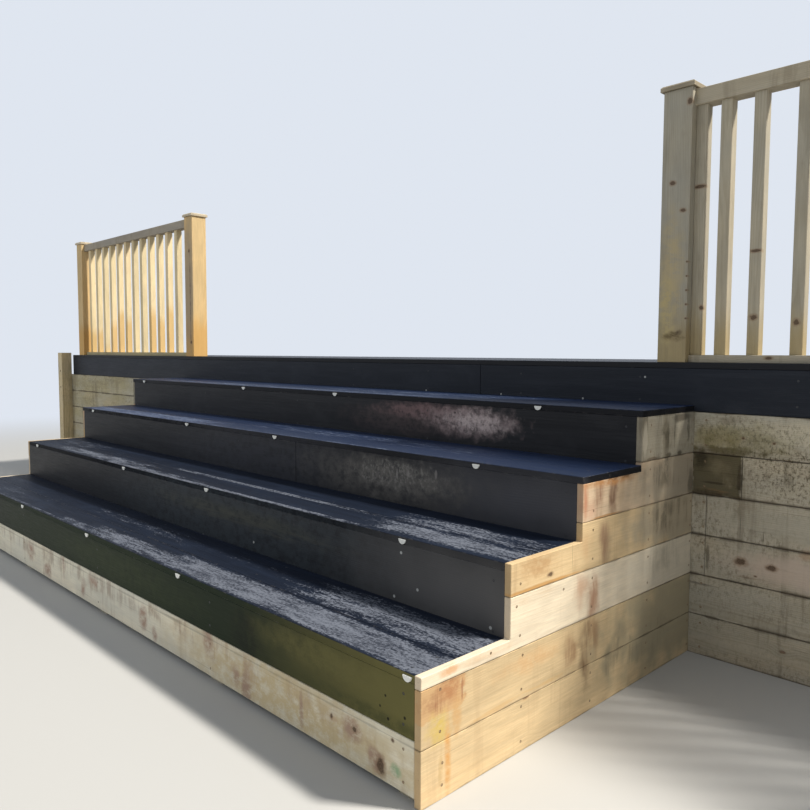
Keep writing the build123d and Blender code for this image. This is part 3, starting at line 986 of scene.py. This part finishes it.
def black_paint(name, boards, tint=coal, dust=(), washes=(), flecks=(), **more):
    """Paint over softwood. dust is patches of dust and, on the tread tops, of painted sheen; washes are
    marks, flecks are pale spots with a radius.
    """
    material, tree, shader = start_material(name)
    board = placed(tree, board_place, boards)
    inside = {"Place": board["Place"], "Board": board["Board"], "Ring Width": 0.007}
    wood = placed(tree, softwood, inside)
    thin = fade(noise(board["Place"], (1.7, 30, 30), 5.0, 0.65), 0.4, 0.8)
    wiped = fade(noise(here(tree), (5, 5, 9), 5.0, 0.6), 0.45, 0.75)
    thin = calc("MAXIMUM", thin * 0.5, wiped * 0.4)
    colour = blend(thin, tint, more.get("thin_tint", thinner))
    colour = add_marks(tree, colour, washes, board["Place"])
    smooth = more.get("smooth", 0.4)
    gloss = fade(wood["Fibre"], 0.3, 0.7, smooth, smooth + 0.12)
    if dust:
        cover = 0.0
        for at, half, strength, soft in dust:
            where = {"Centre": at, "Half Size": half, "Softness": soft}
            where.update({"Raggedness": 0.12, "Tears": 11.0, "Squareness": 0.9})
            cover = calc("MAXIMUM", placed(tree, patch, where)["Mask"] * strength, cover)
        grit = placed(tree, speckle, {"Cover": cover})
        grey = blend(grit["Shade"], *more.get("dust_tints", plain_dust))
        colour = blend(grit["Mask"], colour, grey)
        gloss = gloss + grit["Mask"] * 0.35
    for at, size in flecks:
        where = {"Centre": at, "Half Size": (size, size, size), "Raggedness": 0.1, "Softness": 0.4}
        colour = blend(placed(tree, patch, where)["Mask"], colour, fleck_colour)
    # Faces that look up keep the colours above, which on the treads carry the painted sky reflection.
    # Faces to the front get plain coal with the broad washes of the riser beneath.
    if dust:
        upward = parts_of(tree, here(tree, "Normal"))["Z"]
        front = add_marks(tree, coal, more.get("front_washes", ()), board["Place"])
        colour = blend(fade(upward, 0.4, 0.8), front, colour)
    worn = placed(tree, rubbed_edge, {"Amount": more.get("wear", 0.3)})["Mask"]
    fill_inputs(shader, {
        "Base Color": blend(worn * 0.7, colour, rubbed_colour),
        "Roughness": gloss,
        "Specular IOR Level": more.get("sheen", 0.18),
        "Normal": bump(tree, wood["Relief"], 0.0002),
    })
    return material


# %% Marks of the risers
dark_spot, scratch = (1, 1, 0.8), (30, 28, 27)
riser_rows = {
    1: [
        # Riser 1: the green base and the olive washes are partly weathered paint and partly painted
        # green light, reflected from the ground in front.
        (200, 240, 2600, 300, (1.5, 2.4, 1.2), 0.95, 0.2),
        (200, 240, 900, 100, (3.5, 4.7, 2), 0.6, 0.3, "haze"),
        (2100, 220, 1100, 600, (16.5, 14.8, 5.2), 1.0, 0.08, "wash"),
        (1500, 270, 450, 60, (15, 13.5, 5), 0.5, 0.4, "haze"),
        (1146, 220, 130, 120, (0.9, 1.2, 0.9), 0.7, 0.2, "haze", 8),
        (1700, 185, 500, 30, (5, 5.5, 2.2), 0.6, 0.5, "haze"),
        (1795, 249, 5, 5, dark_spot, 0.9, 0.1),
        (1805, 192, 6, 6, dark_spot, 0.9, 0.1),
        (1865, 215, 6, 6, dark_spot, 0.9, 0.1),
        (1775, 216, 5, 5, dark_spot, 0.8, 0.1),
    ],
    2: [
        (500, 420, 1600, 300, (3.6, 4.4, 5.2), 0.85, 0.2, "haze"),
        (500, 460, 800, 45, (5.5, 5.7, 4.2), 0.6, 0.5, "haze"),
        (600, 440, 900, 40, (7.5, 7.5, 6), 0.35, 0.5, "bands"),
        (1750, 410, 750, 250, (11, 10.7, 10.7), 0.95, 0.15, "wash", 8),
    ],
    3: [
        (200, 620, 1200, 200, (3, 3.2, 4.2), 0.75, 0.2, "haze"),
        (1700, 620, 800, 200, (6.4, 6.5, 7.5), 0.95, 0.2, "wash", 8),
        (1020, 620, 700, 130, (8.5, 8, 7.5), 0.85, 0.4, "haze"),
        (1100, 640, 420, 90, (15, 14, 13), 0.6, 0.7, "haze", 30),
        (1100, 650, 300, 70, (30, 29, 27), 0.5, 0.6, "grit", 30),
        (1170, 660, 8, 20, scratch, 0.5, 0.6, "soft", 40),
        (1110, 653, 8, 28, scratch, 0.5, 0.6, "soft", 40),
        (1312, 674, 8, 20, scratch, 0.45, 0.6, "soft", 40),
    ],
    4: [
        (850, 820, 600, 90, (6.5, 4.8, 4.7), 0.85, 0.5, "haze"),
        (920, 862, 400, 50, (19, 12, 12), 0.95, 0.5, "haze", 30),
        (1150, 832, 330, 85, (30, 23, 23), 1.0, 0.5, "haze", 30),
        (1200, 835, 220, 60, (56, 47, 46), 0.95, 0.7, "haze", 40),
        (1130, 820, 300, 80, (2, 1.7, 1.8), 0.6, 0.5, "grit", 40),
        (1087, 866, 6, 6, (1.2, 1, 1), 0.9, 0.1),
    ],
}
riser_flecks = {
    2: [(0.273, 0.329), (0.664, 0.37), (1.462, 0.346), (1.565, 0.39), (1.493, 0.491), (1.851, 0.349)],
}

# %% Finish the risers and edge boards
riser_fronts = {n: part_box(f"riser_{n}")[0].y for n in range(1, 5)}
riser_washes = {n: marks_on("y", riser_fronts[n], rows) for n, rows in riser_rows.items()}


def face_boards(seed):
    """Risers and edge boards are one board high."""
    return layout(along_x, along_z, 0.6, -0.1, seed)


for n, front in riser_fronts.items():
    flecks = [((x, front, z), 0.006) for x, z in riser_flecks.get(n, ())]
    looks = {"washes": riser_washes[n], "flecks": flecks, "sheen": 0.06 if n == 1 else 0.18}
    finish_node(f"riser_{n}", black_paint(f"riser_{n}_paint", face_boards(80.0 + n), **looks))
edge_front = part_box("fascia_front")[0].y
edge_spots = ((0.555, 0.925), (1.025, 0.926), (1.45, 0.926), (1.723, 1.021))
edge_looks = {
    "tint": (0.009, 0.012, 0.019),
    "thin_tint": (0.031, 0.036, 0.048),
    "flecks": [((x, edge_front, z), 0.005) for x, z in edge_spots],
}
edge_paint = black_paint("edge_board_paint", face_boards(85.0), **edge_looks)
finish_node("fascia_front", edge_paint)
finish_node("fascia_return", edge_paint)

# %% Where the dust and the painted sheen lie on each tread
# Rows: centre along x, distance behind the front edge and half sizes in millimetres, then how
# much the patch covers and how softly it ends
tread_dust_and_sheen = {
    1: [
        (1350, 73, 1000, 79, 1.0, 0.4), (350, 55, 700, 66, 0.75, 0.6),
        (-100, 30, 600, 36, 0.65, 0.7), (-900, 12, 1000, 13, 0.45, 0.6),
        (1650, 240, 650, 105, 0.8, 0.6), (-100, 240, 800, 80, 0.4, 0.9),
        (800, 250, 800, 60, 0.25, 0.9), (-1400, 80, 600, 120, 0.3, 0.9),
    ],
    2: [
        (-950, 60, 900, 70, 0.8, 0.8), (-200, 30, 700, 35, 0.6, 0.8),
        (200, 10, 1400, 16, 0.9, 0.5), (450, 151, 1000, 19, 0.8, 0.6),
        (1620, 80, 500, 85, 1.0, 0.8), (1600, 200, 450, 90, 0.7, 0.8),
        (-1500, 200, 500, 140, 0.4, 0.9),
    ],
    3: [
        # Treads 3 and 4: each patch takes the blue grey tints, so it is dust with a painted sky
        # reflection on it. The broad, faint patch at the back is painted sheen alone.
        (-1100, 60, 1100, 100, 1.0, 0.6), (400, 8, 1500, 10, 0.6, 0.6),
        (600, 200, 1300, 140, 0.42, 0.9),
    ],
    4: [
        (-1000, 80, 1000, 100, 0.65, 0.9), (200, 40, 1500, 50, 0.6, 0.8),
        # The broad, faint patch at the back is painted sheen alone.
        (700, 200, 1200, 160, 0.42, 0.9),
    ],
}
patch_depth = 0.05
deck_dust = [(0, 600, 2600, 600, 0.36, 1.0), (-2800, 700, 1200, 400, 0.28, 1.0)]


def patches_on_top(top, front, rows):
    """Patches on a level top: dust, and on the treads painted sheen."""
    made = []
    for *millimetres, cover, soft in rows:
        x, back, half_x, half_y = [value / 1000 for value in millimetres]
        made.append(((x, front + back, top), (half_x, half_y, patch_depth), cover, soft))
    return made


# %% Finish the treads
# The tread tops are bluer than the same paint on the risers. blue_black, night_blue and the blue thin
# tints are a painted reflection of blue sky. The grey dust tints of treads 1 and 2 hold a little of it,
# and those of treads 3 and 4 much more.
blue_black, night_blue = (0.0065, 0.0095, 0.018), (0.007, 0.015, 0.042)
tread_looks = dict(tint=blue_black, smooth=0.5, wear=0.45, thin_tint=(0.018, 0.027, 0.05))
tread_looks["dust_tints"] = ((0.045, 0.051, 0.068), (0.145, 0.16, 0.198))
bluer_looks = dict(tread_looks, tint=night_blue, smooth=0.4, sheen=0.12)
bluer_looks["dust_tints"] = ((0.022, 0.035, 0.08), (0.11, 0.135, 0.2))
tread_paints = {
    1: dict(tread_looks, sheen=0.07),
    2: dict(tread_looks, sheen=0.05),
    3: bluer_looks,
    4: bluer_looks,
}
front_board = 0.15
for n, rows in tread_dust_and_sheen.items():
    low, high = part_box(f"tread_{n}")
    dust = patches_on_top(high.z, low.y, rows)
    boards = layout(along_x, along_y, front_board, low.y, 90.0 + n)
    broad = [spot for spot in riser_washes[n] if spot["where"]["Half Size"][0] > 0.7]
    paint = black_paint(f"tread_{n}_paint", boards, dust=dust, front_washes=broad, **tread_paints[n])
    finish_node(f"tread_{n}", paint)

# %% Finish the deck boards
low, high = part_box("deck_boards")
deck_board_count = 8
deck_board = (high.y - low.y) / deck_board_count
deck_layout = layout(along_x, along_y, deck_board, low.y, 95.0)
dust = patches_on_top(high.z, 0.0, deck_dust)
finish_node("deck_boards", black_paint("deck_paint", deck_layout, blue_black, dust))

# %% [markdown]
# ## Screws
#
# Countersunk screws hold the boards, two at each post or joist. Their heads sit a fraction of a
# millimetre proud. One head is modelled by hand from a short cylinder: its underside is tapered,
# its top is dished with an inset, and two thin bars cut the cross. It is then copied to each place.

# %% Model one screw head
head_radius, head_height, proud = 0.004, 0.0022, 0.0003
bar_size = (0.0042, 0.0009, 0.0018)
bpy.ops.mesh.primitive_cylinder_add(vertices=10, radius=head_radius, depth=head_height)
screw = bpy.context.object
screw.name = "screw_pattern"
screw.location.z = proud - head_height / 2
bpy.ops.object.transform_apply(location=True, rotation=False, scale=False)


def select_faces_looking(up_or_down):
    bpy.ops.object.mode_set(mode="EDIT")
    bpy.ops.mesh.select_mode(type="FACE")
    bpy.ops.mesh.select_all(action="DESELECT")
    cage = bmesh.from_edit_mesh(screw.data)
    for face in cage.faces:
        face.select_set(face.normal.z * up_or_down > 0.9)
    bmesh.update_edit_mesh(screw.data)


select_faces_looking(-1)
bpy.ops.transform.resize(value=(0.5, 0.5, 1))
select_faces_looking(1)
bpy.ops.mesh.inset(thickness=0.0006, depth=-0.0001)
bpy.ops.object.mode_set(mode="OBJECT")
for turn in (0, math.pi / 2):
    bpy.ops.mesh.primitive_cube_add(size=1, location=(0, 0, proud), rotation=(0, 0, turn))
    bar = bpy.context.object
    bar.scale = bar_size
    bpy.ops.object.transform_apply(location=False, rotation=True, scale=True)
    bpy.context.view_layer.objects.active = screw
    cut = screw.modifiers.new("cross", "BOOLEAN")
    cut.operation = "DIFFERENCE"
    cut.object = bar
    bpy.ops.object.modifier_apply(modifier="cross")
    bpy.data.objects.remove(bar)
print("screw head:", len(screw.data.polygons), "faces")

# %% Function: a set of screws
quarter, turn_step = math.pi / 2, 2.4
to_front, to_top = Matrix.Rotation(quarter, 4, "X"), Matrix.Identity(4)
to_right, to_left = Matrix.Rotation(quarter, 4, "Y"), Matrix.Rotation(-quarter, 4, "Y")


def pick(things):
    """Select these objects alone, with the first as the active one."""
    bpy.ops.object.select_all(action="DESELECT")
    for thing in things:
        thing.select_set(True)
    bpy.context.view_layer.objects.active = things[0]


def drive_screws(name, spots, material):
    """A copy of the head at every spot, given as a place and the turn that faces its surface."""
    made = []
    for count, (place, turn) in enumerate(spots):
        pick([screw])
        bpy.ops.object.duplicate(linked=False)
        head = bpy.context.object
        spun = Matrix.Rotation(count * turn_step, 4, "Z")
        head.matrix_world = Matrix.Translation(place) @ turn @ spun
        made.append(head)
    pick(made)
    piece = made[0]
    bpy.ops.object.join()
    bpy.ops.object.transform_apply(location=True, rotation=True, scale=True)
    piece.name = name
    piece.data.materials.append(material)
    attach(piece, "root")
    print(name, len(spots), "screws")


# %% Finishes of the screws
def screw_finish(name, dark, light, metallic):
    material, tree, shader = start_material(name)
    tarnish = noise(here(tree), (260, 260, 260), 3.0)
    fill_inputs(shader, {
        "Base Color": blend(fade(tarnish, 0.35, 0.65), dark, light),
        "Roughness": fade(tarnish, 0.3, 0.7, 0.35, 0.6),
        "Metallic": metallic,
    })
    return material


painted_steel = screw_finish("painted_screws", (0.008, 0.009, 0.012), (0.03, 0.031, 0.036), 0.0)
brown_steel = screw_finish("brown_screws", (0.16, 0.1, 0.06), (0.32, 0.23, 0.14), 0.5)

# %% Screws in the painted boards
studs = (-1.8605, -0.93, 0.0, 0.93, 1.8605)
first_joist, joist_span, joist_gaps = -3.9745, 7.949, 14
joists = [first_joist + joist_span / joist_gaps * n for n in range(joist_gaps + 1)]
painted = []
for n in range(1, 5):
    low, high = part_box(f"tread_{n}")
    rows = (low.y + 0.03, low.y + 0.12, low.y + front_board + 0.035, high.y - 0.035)
    painted += [((x, y, high.z), to_top) for x in studs for y in rows]
    low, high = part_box(f"riser_{n}")
    painted += [((x, low.y, z), to_front) for x in studs for z in (low.z + 0.03, high.z - 0.035)]
low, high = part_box("fascia_front")
painted += [((x, low.y, z), to_front) for x in joists for z in (low.z + 0.035, high.z - 0.035)]
low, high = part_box("deck_boards")
insets = (0.02, deck_board - 0.02)
rows = [low.y + deck_board * n + inset for n in range(deck_board_count) for inset in insets]
painted += [((x, y, high.z), to_top) for x in joists for y in rows]
drive_screws("screws_painted", painted, painted_steel)

# %% Screws in the bare boards
heights = [course * n + rise for n in range(6) for rise in (0.03, 0.12)]
side_spots = [
    *[(-1.242, 0.037), (-1.241, 0.094), (-1.25, 0.178), (-1.25, 0.285), (-0.92, 0.03)],
    *[(-0.92, 0.13), (-0.92, 0.18), (-0.916, 0.276), (-1.055, 0.321), (-0.93, 0.335)],
    *[(-0.946, 0.42), (-0.721, 0.419), (-0.93, 0.48)],
]
side_tops = {-0.5665: 0.71, -0.2165: 0.9, 0.095: 0.9}
side_spots += [(y, z) for y, top in side_tops.items() for z in heights if z < top]
bare = [((x, base_front, z), to_front) for x in studs for z in (0.05, 0.135)]
for y, z in side_spots:
    bare += [((face_right, y, z), to_right), ((-face_right, y, z), to_left)]
for x in (1.965, 2.959, 3.953):
    for z in heights:
        bare += [((x, wall_front, z), to_front), ((-x, wall_front, z), to_front)]
wall_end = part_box("wall_right_end")[1].x
for z in heights:
    for y in (0.24, 0.74, 1.25):
        bare += [((wall_end, y, z), to_right), ((-wall_end, y, z), to_left)]
drive_screws("screws_bare", bare, brown_steel)
bpy.data.objects.remove(screw)

# %% [markdown]
# ## Step lights
#
# Small white lenses sit under the front edges. A frosted plastic lens is cloudy, not clear, and has
# a soft gloss.

# %% Finish the lenses
lens, tree, shader = start_material("light_lens")
cloudy = noise(here(tree), (220, 220, 220), 2.0)
fill_inputs(shader, {
    "Base Color": blend(cloudy, (0.86, 0.87, 0.85), (0.72, 0.73, 0.7)),
    "Roughness": fade(cloudy, 0.3, 0.7, 0.3, 0.42),
})
finish_node("step_lights", lens)

# %% Write the sizes and finish
low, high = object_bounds()
print("visual box", [round(v, 4) for v in low], [round(v, 4) for v in high])
